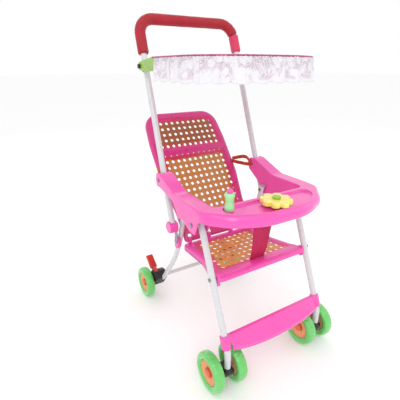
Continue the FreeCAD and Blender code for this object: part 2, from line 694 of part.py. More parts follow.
def build_canopy():
    for name, side in SIDES:
        export("canopy_clamp_" + name, canopy_clamp(side))
        export("canopy_arm_" + name, canopy_arm(side))
        export("canopy_knob_" + name, canopy_knob(side))
    export("canopy_rim", swept(canopy_rod_points(), CANOPY_RADII, CANOPY_ROD_R))
    export("canopy_fabric", canopy_fabric())
    export("canopy_frill", canopy_frill())


def build_seat():
    export("seat_shell", seat_shell())
    export("backrest_shell", backrest_shell())
    export("backrest_hinge_rod", rod(V(-124, *HINGE), V(124, *HINGE), AXLE_R))
    export("recline_straps", Part.makeCompound([recline_strap(side) for _, side in SIDES]))
    export("crotch_strap", crotch_strap())


os.makedirs("parts", exist_ok=True)
build_front_frame()
build_rear_frame()
build_upper_frame()
build_canopy()
build_seat()
print("x", overall.XMin, overall.XMax, "y", overall.YMin, overall.YMax, "z", overall.ZMin, overall.ZMax)
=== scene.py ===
"""Looks of a folding pushchair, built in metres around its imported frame.

+Z is up, the front faces -Y and +X is the pusher's left. at() and the profiles below use the
CAD's own datum, y measured rearward from the front caster stems.
"""

import json
import math

import bmesh
import bpy
import numpy as np
from mathutils import Matrix, Quaternion, Vector, noise
from mathutils.geometry import delaunay_2d_cdt


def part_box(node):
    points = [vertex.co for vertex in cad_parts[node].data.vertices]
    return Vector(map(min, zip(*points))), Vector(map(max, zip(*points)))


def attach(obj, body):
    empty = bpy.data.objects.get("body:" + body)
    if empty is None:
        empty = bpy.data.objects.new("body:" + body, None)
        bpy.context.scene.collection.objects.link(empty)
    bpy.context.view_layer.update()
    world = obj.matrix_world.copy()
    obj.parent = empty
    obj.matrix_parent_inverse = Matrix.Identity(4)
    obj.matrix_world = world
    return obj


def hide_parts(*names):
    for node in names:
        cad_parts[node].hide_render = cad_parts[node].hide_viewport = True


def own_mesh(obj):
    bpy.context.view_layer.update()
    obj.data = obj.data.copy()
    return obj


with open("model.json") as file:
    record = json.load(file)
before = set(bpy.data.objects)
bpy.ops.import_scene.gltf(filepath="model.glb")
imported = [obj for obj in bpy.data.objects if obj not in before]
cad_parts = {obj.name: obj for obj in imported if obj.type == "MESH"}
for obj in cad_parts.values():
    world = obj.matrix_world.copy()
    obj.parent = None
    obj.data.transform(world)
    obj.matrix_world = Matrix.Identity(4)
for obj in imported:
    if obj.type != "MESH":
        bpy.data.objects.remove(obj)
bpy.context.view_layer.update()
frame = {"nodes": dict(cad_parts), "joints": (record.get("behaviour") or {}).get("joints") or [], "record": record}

MM = 0.001
SIDES = (("right", -1), ("left", 1))
JOINTS = {joint["name"]: joint for joint in frame["joints"]}
DATUM_Y = JOINTS["caster_swivel_right"]["pos_m"][1]

# ---- driving dimensions, as in the CAD, in millimetres ----
WHEEL_R = 56.7
RIM_R = 36.0
TYRE_HALF = 15.0
GRIP_R = 16.5
HANDLE_FOOT = (180.0, 288.4, 380.0)
HANDLE_TOP = (168.0, 505.0, 963.0)
HANDLE_BEND_R = 48.0
GRIP_END_Z = {-1: 865.0, 1: 876.0}
GRIP_SEAM_Z = 928.0
GRIP_STEP = 2.2
CANOPY_Z = 850.0
CANOPY_PATH = ((187, 358, 0), (187, 150, 100), (93.5, 80, 180),
               (-93.5, 80, 180), (-187, 150, 100), (-187, 358, 0))
FRILL_REAR_Y = 340.0
BACK_FOOT = (279.0, 305.0)
BACK_RECLINE = math.radians(38.3)
BACK_OUTLINE = ((134, 12, 8), (134, 112, 60), (150, 215, 120), (150, 360, 120), (140, 477, 58))
BACK_BAND_UP = 324.0          # middle of the plain band between the two perforated panels
HINGE_UP, HINGE_BACK = 20.0, 9.0
HINGE_LUGS = ((40, 50), (112, 122))
HINGE_KNUCKLES = (54, 108)
SEAT_OUTLINE = ((158.5, 64, 14), (158.5, 100, 20), (136, 184, 60), (135, 309, 10))
SEAT_FRONT = (64.0, 312.0)
SEAT_REAR = (309.0, 299.0)
PIVOT_SEAT = (80.3, 310.0)
LEVER_PIVOT = (476.0, 101.0)
TRAY_OUTLINE = ((199, 372, 0), (199, 84, 50), (150, 30, 70), (70, -6, 160))
TRAY_TOP_Z = 504.0
CANOPY_PIVOT = (448.0, 832.0)
HOLE_PITCH = 22.0
HOLE_R = 5.3
SMALL_HOLE_R = 1.9
SHELL_WALL = 2.4


# ---- geometry helpers ----
def at(x, y, z):
    """Row-frame point from millimetres on the CAD's datum."""
    return Vector((x * MM, y * MM + DATUM_Y, z * MM))


def corner_points(before, corner, after, radius, steps):
    """Points along the arc that rounds a corner; a radius of 0 keeps it sharp."""
    if not radius:
        return [corner]
    back = (before - corner).normalized()
    ahead = (after - corner).normalized()
    half = back.angle(ahead) / 2
    centre = corner + (back + ahead).normalized() * (radius / math.sin(half))
    start = corner + back * (radius / math.tan(half)) - centre
    end = corner + ahead * (radius / math.tan(half)) - centre
    turn = start.rotation_difference(end)
    return [centre + Quaternion().slerp(turn, step / steps) @ start for step in range(steps + 1)]


def rounded(points, radii, steps, closed=False):
    """Path through 3-D points with its corners rounded."""
    count = len(points)
    path = []
    for i, (point, radius) in enumerate(zip(points, radii)):
        if closed or 0 < i < count - 1:
            path += corner_points(points[i - 1], point, points[(i + 1) % count], radius, steps)
        else:
            path.append(point)
    return path


def spaced(path, step, closed=False):
    """The same path with points at even distances of about step."""
    line = np.array([tuple(p) for p in path] + ([tuple(path[0])] if closed else []))
    along = np.concatenate([[0], np.cumsum(np.linalg.norm(np.diff(line, axis=0), axis=1))])
    count = max(2, round(along[-1] / step))
    where = np.linspace(0, along[-1], count + 1)
    if closed:
        where = where[:-1]
    return [Vector([np.interp(s, along, line[:, axis]) for axis in range(3)]) for s in where]


def plan_outline(half_corners, step):
    """(x, y) rows round a symmetric outline given by its +X half as (x, y, corner radius)."""
    right = [(-x, y, r) for x, y, r in reversed(half_corners)]
    corners = list(half_corners) + right
    points = [Vector((x, y, 0)) for x, y, _ in corners]
    loop = spaced(rounded(points, [r for _, _, r in corners], 10, True), step, True)
    return np.array([tuple(p)[:2] for p in loop])


def smooth_step(value, low, high):
    """0 at low, 1 at high and an eased rise between them."""
    t = np.clip((value - low) / (high - low), 0, 1)
    return t * t * (3 - 2 * t)


def edge_distance(points, outline):
    """Distance from each 2-D point to a closed outline, and the unit step inward from it."""
    run = np.roll(outline, -1, axis=0) - outline
    best = np.full(len(points), 1e9)
    nearest = np.zeros_like(points)
    for a, d in zip(outline, run):
        share = np.clip(((points - a) @ d) / (d @ d), 0, 1)
        spot = a + share[:, None] * d
        apart = np.linalg.norm(points - spot, axis=1)
        closer = apart < best
        best[closer] = apart[closer]
        nearest[closer] = spot[closer]
    inward = outline.mean(axis=0) - nearest
    inward /= np.linalg.norm(inward, axis=1)[:, None]
    return best, inward


def mesh_object(name, verts, faces):
    """Smooth-shaded object from points and faces."""
    mesh = bpy.data.meshes.new(name)
    mesh.from_pydata([tuple(v) for v in verts], [], faces)
    mesh.validate()
    for face in mesh.polygons:
        face.use_smooth = True
    made = bpy.data.objects.new(name, mesh)
    bpy.context.scene.collection.objects.link(made)
    return made


def grid_faces(rows, columns, close_rows=False, close_columns=False):
    """Quads between the points of a grid that is stored row by row."""
    faces = []
    for i in range(rows if close_rows else rows - 1):
        for j in range(columns if close_columns else columns - 1):
            a, b = i * columns + j, i * columns + (j + 1) % columns
            c, d = ((i + 1) % rows) * columns + (j + 1) % columns, ((i + 1) % rows) * columns + j
            faces.append((a, b, c, d))
    return faces


def apply_modifiers(obj):
    """Replaces obj's mesh by what its modifiers make of it."""
    shown = obj.evaluated_get(bpy.context.evaluated_depsgraph_get())
    mesh = bpy.data.meshes.new_from_object(shown)
    obj.modifiers.clear()
    obj.data = mesh
    for face in mesh.polygons:
        face.use_smooth = True
    return obj


def modify(obj, kind, **settings):
    """Adds a modifier with the given settings."""
    modifier = obj.modifiers.new(kind.lower(), kind)
    for key, value in settings.items():
        setattr(modifier, key, value)


def sweep(name, path, radius, sides):
    """Round bar along a path; radius(i, angle) gives its surface."""
    count = len(path)
    verts = []
    normal = None
    for i, point in enumerate(path):
        along = (path[min(i + 1, count - 1)] - path[max(i - 1, 0)]).normalized()
        if normal is None:
            normal = along.orthogonal().normalized()
        normal = (normal - along * normal.dot(along)).normalized()
        across = along.cross(normal)
        for k in range(sides):
            angle = math.tau * k / sides
            out = normal * math.cos(angle) + across * math.sin(angle)
            verts.append(point + out * radius(i, angle))
    faces = grid_faces(count, sides, close_columns=True)
    faces.append(tuple(range(sides))[::-1])
    faces.append(tuple(range((count - 1) * sides, count * sides)))
    return mesh_object(name, verts, faces)


def lathe(name, profile, centre, segments, radial=None):
    """Solid turned about an X axle from (x offset, radius) points; radial(x, r, angle) adds relief."""
    verts = []
    for k in range(segments):
        angle = math.tau * k / segments
        for x, r in profile:
            if radial:
                r += radial(x, r, angle)
            verts.append(centre + Vector((x, r * math.sin(angle), r * math.cos(angle))) * MM)
    faces = grid_faces(segments, len(profile), close_rows=True, close_columns=True)
    turned = mesh_object(name, verts, faces)
    tidy_normals(turned)
    return turned


def side_block(name, x0, x1, corners, bevel=1.2):
    """Bevelled block with a side-view outline of (y, z, radius) between two x."""
    points = [Vector((0, y, z)) for y, z, _ in corners]
    outline = rounded(points, [r for _, _, r in corners], 5, closed=True)
    count = len(outline)
    verts = [at(x0, p.y, p.z) for p in outline] + [at(x1, p.y, p.z) for p in outline]
    faces = [tuple(range(count)), tuple(range(2 * count - 1, count - 1, -1))]
    faces += [(i, count + i, count + (i + 1) % count, (i + 1) % count) for i in range(count)]
    block = mesh_object(name, verts, faces)
    tidy_normals(block)
    modify(block, "BEVEL", width=bevel * MM, segments=3, limit_method="ANGLE",
           angle_limit=math.radians(50))
    return apply_modifiers(block)


def tidy_normals(obj):
    """Turns every face of obj outward."""
    shape = bmesh.new()
    shape.from_mesh(obj.data)
    bmesh.ops.recalc_face_normals(shape, faces=shape.faces)
    shape.to_mesh(obj.data)
    shape.free()


def joined(name, parts):
    """One object from several, under a new name."""
    bpy.ops.object.select_all(action="DESELECT")
    for part in parts:
        part.select_set(True)
    bpy.context.view_layer.objects.active = parts[0]
    bpy.ops.object.join()
    parts[0].name = name
    return parts[0]


def softened(node, voxel, rounds, keep=0.35):
    """The CAD node's shape as a new mesh, its edges rounded by a remesh of voxel millimetres."""
    copy = bpy.data.objects.new(node + "_moulded", frame["nodes"][node].data.copy())
    bpy.context.scene.collection.objects.link(copy)
    copy.data.materials.clear()
    modify(copy, "WELD", merge_threshold=0.00002)
    modify(copy, "REMESH", mode="VOXEL", voxel_size=voxel * MM, use_smooth_shade=True)
    modify(copy, "SMOOTH", factor=0.5, iterations=rounds)
    modify(copy, "DECIMATE", ratio=keep)
    return apply_modifiers(copy)


def place(obj, look, body, slot, *nodes):
    """Gives a piece its material and its body, and hides the CAD nodes that it stands for; slot is not used."""
    obj.data.materials.clear()
    obj.data.materials.append(look)
    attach(obj, body)
    if nodes:
        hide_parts(*nodes)


def unwrap(obj, flat):
    """Stores the flat place of each point, in metres, as the UV map."""
    uv = obj.data.uv_layers.new(name="UVMap")
    for loop in obj.data.loops:
        uv.data[loop.index].uv = flat[loop.vertex_index]


# ---- materials ----
def srgb(red, green, blue):
    """Linear colour from 0 to 255 screen values."""
    def linear(v):
        v /= 255
        return v / 12.92 if v <= 0.04045 else ((v + 0.055) / 1.055) ** 2.4
    return linear(red), linear(green), linear(blue), 1.0


class Look:
    """A material whose patterns are worked out from the piece's own coordinates."""

    def __init__(self, name, colour, roughness, **shader):
        self.material = bpy.data.materials.new(name)
        self.material.use_nodes = True
        self.tree = self.material.node_tree
        self.shader = self.tree.nodes["Principled BSDF"]
        self.colour = srgb(*colour)
        self.put(self.shader, "Base Color", self.colour)
        self.put(self.shader, "Roughness", roughness)
        for key, value in shader.items():
            self.put(self.shader, key.replace("_", " "), value)
        self.place = self.node("ShaderNodeTexCoord").outputs["Object"]

    def put(self, node, key, value):
        if isinstance(value, bpy.types.NodeSocket):
            self.tree.links.new(value, node.inputs[key])
        else:
            node.inputs[key].default_value = value

    def node(self, kind, inputs=None, **settings):
        made = self.tree.nodes.new(kind)
        for key, value in settings.items():
            setattr(made, key, value)
        for key, value in (inputs or {}).items():
            self.put(made, key, value)
        return made

    def noise(self, scale, detail=3.0, rough=0.55, place=None):
        return self.node("ShaderNodeTexNoise", {
            "Vector": place or self.place, "Scale": scale, "Detail": detail,
            "Roughness": rough}).outputs["Fac"]

    def cells(self, scale, place=None, feature="F1"):
        inputs = {"Vector": place or self.place, "Scale": scale}
        return self.node("ShaderNodeTexVoronoi", inputs, feature=feature).outputs["Distance"]

    def flat_place(self):
        return self.node("ShaderNodeUVMap", uv_map="UVMap").outputs["UV"]

    def maths(self, operation, a, b=0.0):
        return self.node("ShaderNodeMath", {0: a, 1: b}, operation=operation).outputs[0]

    def ranged(self, value, low, high, to_low=0.0, to_high=1.0):
        return self.node("ShaderNodeMapRange", {
            "Value": value, "From Min": low, "From Max": high,
            "To Min": to_low, "To Max": to_high}).outputs[0]

    def uneven(self, scale, detail, low, high):
        """Slow noise between two values, for roughness."""
        return self.ranged(self.noise(scale, detail), 0.3, 0.7, low, high)

    def mixed(self, share, a, b):
        made = self.node("ShaderNodeMix", data_type="RGBA")
        self.put(made, 0, share)
        self.put(made, 6, a)
        self.put(made, 7, b)
        return made.outputs[2]

    def bands(self, place, axis, spacing):
        """Sine bands from -1 to 1, spacing metres apart along one axis."""
        parts = self.node("ShaderNodeSeparateXYZ", {0: place})
        return self.maths("SINE", self.maths("MULTIPLY", parts.outputs[axis], math.tau / spacing))

    def bump(self, height, distance, strength, under=None):
        made = self.node("ShaderNodeBump", {
            "Height": height, "Distance": distance, "Strength": strength})
        if under is not None:
            self.put(made, "Normal", under)
        return made.outputs["Normal"]

    def finish(self, colour=None, roughness=None, normal=None):
        for key, value in (("Base Color", colour), ("Roughness", roughness), ("Normal", normal)):
            if value is not None:
                self.put(self.shader, key, value)
        return self.material


def painted(name, colour, shade):
    """Semi-gloss paint on tube, with faint orange peel and handling marks."""
    look = Look(name, colour, 0.25, Coat_Weight=0.4, Coat_Roughness=0.12)
    tone = look.mixed(look.ranged(look.noise(26, 5), 0.6, 0.85), look.colour, srgb(*shade))
    return look.finish(tone, look.uneven(90, 3, 0.2, 0.32),
                       look.bump(look.noise(420, 2), 0.00002, 0.3))


def moulded(name, colour, shade, roughness, coat=0.5):
    """Glossy moulded plastic with slow colour drift, fine grain and faint scuffs on its sheen."""
    look = Look(name, colour, roughness, Coat_Weight=coat, Coat_Roughness=0.14,
                Subsurface_Weight=0.06, Subsurface_Scale=0.004)
    tone = look.mixed(look.ranged(look.noise(7, 2), 0.35, 0.7), look.colour, srgb(*shade))
    rough = look.ranged(look.noise(40, 4, 0.6), 0.3, 0.72, roughness - 0.04, roughness + 0.06)
    fine = look.bump(look.noise(1500, 2), 0.00004, 0.35)
    return look.finish(tone, rough, look.bump(look.noise(16, 1), 0.0004, 0.15, fine))


def matte_black():
    """Dull, finely pebbled black plastic with greyer worn patches."""
    look = Look("black_plastic", (26, 26, 28), 0.55, Coat_Weight=0.05)
    tone = look.mixed(look.ranged(look.noise(80, 4), 0.5, 0.75), look.colour, srgb(62, 58, 58))
    return look.finish(tone, look.uneven(300, 3, 0.42, 0.66),
                       look.bump(look.cells(1400), 0.00008, 0.5))


def zinc():
    """Plated steel with a faint spangle."""
    look = Look("steel", (176, 176, 180), 0.35, Metallic=0.95)
    tone = look.mixed(look.ranged(look.cells(420), 0.1, 0.8), look.colour, srgb(132, 132, 138))
    return look.finish(tone, look.uneven(700, 3, 0.24, 0.48),
                       look.bump(look.noise(1200, 2), 0.00004, 0.5))


def foam(name, colour, shade):
    """Closed-cell foam: soft skin with fine open cells, painted shade in their pits, and rubbed lighter patches.
    """
    look = Look(name, colour, 0.62, Sheen_Weight=0.1, Sheen_Roughness=0.5)
    cell = look.cells(1100)
    tone = look.mixed(look.ranged(look.noise(20, 4), 0.45, 0.8), look.colour, srgb(*shade))
    # the cell pits are darkened as painted shade
    tone = look.mixed(look.ranged(cell, 0.0, 0.25, 0.35, 0.0), tone, srgb(110, 10, 24))
    fine = look.bump(cell, 0.00022, 0.7)
    return look.finish(tone, look.uneven(200, 3, 0.5, 0.72),
                       look.bump(look.noise(70, 3), 0.0006, 0.3, fine))


def tyre_rubber():
    """Slightly clear soft green with a pebbled skin."""
    look = Look("tyre_green", (112, 204, 108), 0.28, Subsurface_Weight=0.25, Subsurface_Scale=0.008,
                Coat_Weight=0.45, Coat_Roughness=0.12)
    tone = look.mixed(look.ranged(look.noise(18, 3), 0.38, 0.66), look.colour, srgb(98, 192, 96))
    # the pale flecks are painted highlights
    tone = look.mixed(look.ranged(look.noise(150, 4), 0.66, 0.85, 0, 0.35), tone, srgb(170, 226, 160))
    return look.finish(tone, look.uneven(90, 3, 0.14, 0.28),
                       look.bump(look.cells(330, feature="SMOOTH_F1"), 0.0004, 0.45))


def sprayed_panel(name, edge_colour, fade, high, low):
    """Pink moulding whose perforated middle is sprayed like cane, from high to low, through fade; a darker high is
    painted shade.
    """
    look = Look(name, edge_colour, 0.32, Coat_Weight=0.35, Coat_Roughness=0.15)
    spray = look.node("ShaderNodeAttribute", attribute_name="spray").outputs["Fac"]
    depth = look.node("ShaderNodeAttribute", attribute_name="lower").outputs["Fac"]
    cloud = look.maths("ADD", spray, look.uneven(45, 4, -0.16, 0.16))
    # brown runs from high on the upper panel to low on the lower; on the backrest the darker high is painted
    # canopy shadow
    brown = look.mixed(depth, srgb(*high), srgb(*low))
    tone = look.mixed(look.ranged(cloud, 0.05, 0.42), look.colour, srgb(*fade))
    tone = look.mixed(look.ranged(cloud, 0.38, 0.78), tone, brown)
    flat = look.flat_place()
    turned = look.node("ShaderNodeVectorRotate", {"Vector": flat, "Angle": math.radians(45)},
                       rotation_type="Z_AXIS").outputs[0]
    pitch = HOLE_PITCH * MM / math.sqrt(2) / 4
    weave = look.maths("MULTIPLY", look.bands(turned, 0, pitch), look.bands(turned, 1, pitch))
    strands = look.maths("MULTIPLY", look.ranged(weave, -0.2, 0.9), look.ranged(spray, 0.3, 0.7))
    tone = look.mixed(look.maths("MULTIPLY", strands, 0.45), tone, srgb(120, 48, 26))
    fine = look.bump(look.noise(1400, 2), 0.00005, 0.4)
    return look.finish(tone, look.uneven(70, 4, 0.24, 0.44),
                       look.bump(strands, 0.0004, 0.6, fine))


def cloth(name, colour, shade, thread=0.0009):
    """Plain woven cloth with faint printed flecks."""
    look = Look(name, colour, 0.85, Sheen_Weight=0.3, Sheen_Roughness=0.4)
    flat = look.flat_place()
    weave = look.maths("MULTIPLY", look.bands(flat, 0, thread), look.bands(flat, 1, thread))
    tone = look.mixed(look.ranged(look.noise(35, 5), 0.4, 0.68), look.colour, srgb(*shade))
    tone = look.mixed(look.ranged(weave, 0, 1, 0, 0.2), tone, srgb(255, 214, 228))
    return look.finish(tone, None, look.bump(weave, 0.00012, 0.5))


def lace():
    """Open net with denser flowers, closer towards its worked edge; the gaps are see-through."""
    look = Look("lace_white", (226, 223, 228), 0.8, Sheen_Weight=0.35, Sheen_Roughness=0.5)
    flat = look.flat_place()
    drop = look.node("ShaderNodeSeparateXYZ", {0: flat}).outputs[1]
    net = look.cells(330, flat, "DISTANCE_TO_EDGE")
    flower = look.cells(46, flat)
    petals = look.cells(130, flat, "DISTANCE_TO_EDGE")
    dense = look.maths("MAXIMUM", look.ranged(flower, 0.42, 0.5, 1, 0),
                       look.ranged(petals, 0.05, 0.1, 0.9, 0))
    dense = look.maths("MAXIMUM", dense, look.ranged(drop, 0.045, 0.05))
    dense = look.maths("MAXIMUM", dense, look.ranged(look.noise(34, 3, place=flat), 0.46, 0.56))
    gaps = look.ranged(drop, 0.006, 0.032, 0.6, 0.95)
    worked = look.ranged(drop, 0.0, 0.03, 0.72, 1.0)
    threads = look.ranged(net, 0.1, 0.18, 1, 0)
    solid = look.maths("MAXIMUM", look.maths("MULTIPLY", dense, worked), threads)
    look.put(look.shader, "Alpha", look.maths("MAXIMUM", solid, gaps))
    # The thinner net is tinted greyer pink as painted shade; the denser flowers and worked edge stay paler.
    tone = look.mixed(look.ranged(dense, 0, 1), srgb(206, 190, 203), look.colour)
    thread = look.bump(look.cells(1500, flat), 0.0002, 0.6)
    return look.finish(tone, None, look.bump(dense, 0.0004, 0.6, thread))


def webbing(name, colour, shade):
    """Ribbed woven strap with darker threads."""
    look = Look(name, colour, 0.66, Sheen_Weight=0.05, Sheen_Roughness=0.4)
    flat = look.flat_place()
    ribs = look.bands(flat, 1, 0.0022)
    threads = look.maths("MULTIPLY", look.bands(flat, 0, 0.0013), ribs)
    tone = look.mixed(look.ranged(look.noise(50, 4), 0.4, 0.7), look.colour, srgb(*shade))
    tone = look.mixed(look.ranged(threads, 0, 1, 0, 0.3), tone, srgb(*[0.6 * c for c in colour]))
    return look.finish(tone, None, look.bump(threads, 0.00025, 0.7))


WHITE_PAINT = painted("tube_paint", (208, 209, 212), (186, 184, 186))
PINK = moulded("pink_plastic", (238, 84, 178), (232, 76, 170), 0.22)
# PINK_SHADED is the pink plastic darkened as painted shade, for the backrest's parts.
PINK_SHADED = moulded("pink_plastic_shaded", (214, 50, 138), (204, 42, 126), 0.3)
# The backrest's colours are the seat's darkened as painted shade: darker pink edge and red fade, and a much darker
# brown on the upper panel as painted canopy shadow.
SPRAYED_BACK_SHADED = sprayed_panel("back_plastic", (206, 44, 126), (192, 34, 50),
                             (160, 84, 32), (198, 132, 62))
SPRAYED_SEAT = sprayed_panel("seat_plastic", (234, 80, 172), (220, 62, 84),
                             (234, 152, 74), (234, 156, 76))
FOAM_RED = foam("foam_red", (162, 8, 32), (176, 18, 42))
FOAM_PINK = foam("foam_pink", (206, 52, 92), (216, 72, 110))
TYRE = tyre_rubber()
HUB = moulded("hub_peach", (240, 168, 118), (228, 148, 98), 0.36, coat=0.15)
# HUB_CENTRE_SHADE is the hub's orange darkened as painted shade for the hub's centre.
HUB_CENTRE_SHADE = moulded("hub_centre_shade", (226, 112, 70), (206, 92, 54), 0.36, coat=0.15)
BLACK = matte_black()
LEVER = moulded("lever_red", (206, 46, 34), (176, 32, 26), 0.34)
GREEN = moulded("clamp_green", (150, 196, 64), (128, 172, 48), 0.34)
STEEL = zinc()
CANOPY = cloth("canopy_cloth", (220, 92, 148), (232, 138, 180))
PIPING = cloth("canopy_piping", (158, 44, 98), (180, 66, 118), 0.0006)
LACE = lace()
STRAP_RED = webbing("webbing_red", (196, 44, 24), (214, 80, 34))
STRAP_CRIMSON = webbing("webbing_crimson", (188, 2, 72), (202, 12, 88))
YELLOW = moulded("toy_yellow", (240, 226, 96), (246, 236, 140), 0.3)
TOY_GREEN = moulded("toy_green", (164, 228, 160), (140, 212, 142), 0.3)


def dress_frame():
    """Gives every CAD node that stays in view its finish."""
    finishes = {
        "tube_paint": WHITE_PAINT, "steel": STEEL, "pink_plastic": PINK, "black_plastic": BLACK,
        "lever_red": LEVER, "clamp_green": GREEN, "toy_yellow": YELLOW, "toy_green": TOY_GREEN,
        "back_plastic": PINK_SHADED, "foam_red": FOAM_RED, "foam_pink": FOAM_PINK, "tyre_green": TYRE,
        "hub_peach": HUB, "canopy_cloth": CANOPY, "lace_white": LACE, "webbing_red": STRAP_RED,
        "webbing_crimson": STRAP_CRIMSON}
    for part in frame["record"]["subparts"]:
        shown = frame["nodes"][part["node"]]
        for slot in shown.material_slots:
            slot.material = finishes[part["material_slot"]]


# ---- moulded parts: remesh size in millimetres, smoothing rounds and look ----
MOULDED = {
    "play_wheel": (1.1, 8, YELLOW), "play_wheel_post": (0.9, 4, GREEN),
    "play_roller": (0.9, 5, TOY_GREEN), "play_roller_post": (0.9, 4, PINK)}
PAIRED = {
    "lock_body_": (0.9, 8, PINK), "lock_catch_": (0.9, 8, PINK), "canopy_clamp_": (0.9, 6, GREEN),
    "canopy_arm_": (0.8, 6, GREEN), "canopy_knob_": (0.6, 4, BLACK),
    "caster_body_": (0.9, 6, BLACK), "rear_housing_": (0.9, 6, BLACK)}


def slot_of(node):
    """Material slot that the record gives a CAD node."""
    return next(p["material_slot"] for p in frame["record"]["subparts"] if p["node"] == node)


def body_of(node):
    """Moving body that a CAD node belongs to."""
    groups = frame["record"]["behaviour"]["bodies"]
    return next(body for body, nodes in groups.items() if node in nodes)


def make_moulded():
    """Rounded meshes for the injection-moulded parts."""
    wanted = dict(MOULDED)
    for stem, settings in PAIRED.items():
        for side, _ in SIDES:
            wanted[stem + side] = settings
    for node, (voxel, rounds, look) in wanted.items():
        piece = softened(node, voxel, rounds)
        if node.startswith("canopy_arm_"):
            clear_of_clamp(piece)
        place(piece, look, body_of(node), slot_of(node), node)


def clear_of_clamp(arm):
    """Opens the arm's bore and eases its inner face, so that it turns freely on the clamp."""
    boss_r, rim_r, bore_r, inner_x = 12 * MM, 7 * MM, 5.2 * MM, 189 * MM
    y, z = at(0, *CANOPY_PIVOT).yz
    for vert in arm.data.vertices:
        dy, dz = vert.co.y - y, vert.co.z - z
        apart = math.hypot(dy, dz)
        if apart < boss_r and abs(vert.co.x) < inner_x:
            vert.co.x += math.copysign(0.5 * MM, vert.co.x)
        if apart < rim_r:
            wider = max(1.0, bore_r / max(apart, 0.1 * MM))
            vert.co.y = y + dy * wider
            vert.co.z = z + dz * wider


def make_levers():
    """Foot brakes: an arm on the pivot that widens into a long paddle."""
    y, z = LEVER_PIVOT
    for name, side in SIDES:
        arm = side_block("arm", side * 158.6, side * 173.4, [
            (y - 8, z - 7, 6), (y - 8, z + 8, 6), (y + 22, z + 17, 20), (y + 40, z + 30, 4),
            (y + 48, z + 20, 4), (y + 30, z + 4, 18), (y + 8, z - 7, 6)])
        paddle = side_block("paddle", side * 153.5, side * 178.5, [
            (y + 17, z + 15, 5), (y + 62, z + 47, 5), (y + 72, z + 37, 5), (y + 27, z + 5, 5)], 2)
        lever = joined("brake_pedal_" + name, [arm, paddle])
        place(lever, LEVER, body_of("brake_lever_" + name), "lever_red", "brake_lever_" + name)


def make_footrest():
    """Footrest whose lower edge bows forward between the collars and rises beside them."""
    bow, lift, half = 7.5, 9.0, 158
    step = softened("footrest", 1.4, 10, 1.0)
    for vert in step.data.vertices:
        y, z = (vert.co.y - DATUM_Y) / MM, vert.co.z / MM
        up_slope = (y + z - 168) / math.sqrt(2)
        lower = max(0.0, min(1.0, (4 - up_slope) / 34))
        middle = max(0.0, 1 - (vert.co.x / MM / 150) ** 2)
        reach = abs(vert.co.x) / MM / half
        beside = min(1.0, reach) ** 3 * max(0.0, min(1.0, (1.03 - reach) / 0.03))
        shift = (bow * middle - lift * beside) * lower * MM / math.sqrt(2)
        vert.co.y -= shift
        vert.co.z -= shift
    modify(step, "DECIMATE", ratio=0.5)
    step = apply_modifiers(step)
    place(step, PINK, "front_frame", "pink_plastic", "footrest")


def make_tray():
    """Armrest and tray: the moulding's upper outer edge is rolled over in a wide bull-nose."""
    tray = softened("armrest_tray", 1.5, 8, 0.4)
    outline = plan_outline(TRAY_OUTLINE, 4) * MM + np.array([0, DATUM_Y])
    points = np.empty(len(tray.data.vertices) * 3)
    tray.data.vertices.foreach_get("co", points)
    points = points.reshape(-1, 3)
    apart, inward = edge_distance(points[:, :2], outline)
    top, roll_height, roll_reach = TRAY_TOP_Z * MM, 26 * MM, 11 * MM
    low, height, depth = 473 * MM, 31 * MM, 2.2 * MM
    front = np.clip((DATUM_Y + 0.13 - points[:, 1]) / 0.08, 0, 1)
    rise = np.clip((points[:, 2] - (top - roll_height)) / roll_height, 0, 1)
    shift = roll_reach * (1 - np.sqrt(1 - rise ** 2 * 0.98)) * front
    shift *= np.clip(1 - apart / roll_height, 0, 1)
    points[:, :2] += inward * shift[:, None]
    belly = np.sin(np.clip((points[:, 2] - low) / height, 0, 1) * math.pi) * depth
    points[:, :2] -= inward * (belly * front * np.clip(1 - apart / (8 * MM), 0, 1))[:, None]
    tray.data.vertices.foreach_set("co", points.ravel())
    tray.data.update()
    place(tray, PINK, "armrest", "pink_plastic", "armrest_tray")


# ---- wheels ----
def tyre_profile():
    """Closed section of the tyre, from one bead over the crown to the other and back inside."""
    steps, shoulder_r = 22, WHEEL_R - 11.35
    points = []
    for step in range(steps + 1):
        angle = math.pi * step / steps
        bulge = abs(math.sin(angle)) ** 0.6
        points.append((-TYRE_HALF * math.cos(angle), shoulder_r + 11 * bulge))
    return points + [(12.5, RIM_R), (-12.5, RIM_R)]


def tread(x, r, angle):
    """Two staggered rows of low rounded lugs, in millimetres on top of the radius."""
    lugs, tread_r = 30, WHEEL_R - 10
    if r < tread_r:
        return 0.0
    wave = math.cos(lugs * angle + (math.pi if x > 0 else 0.0))
    lug = max(0.0, min(1.0, 0.5 + 1.6 * wave))
    groove = min(1.0, abs(x) / 2.0)
    edge = max(0.0, min(1.0, (r - tread_r) / 4))
    return 0.75 * (lug * groove * edge) - 0.45


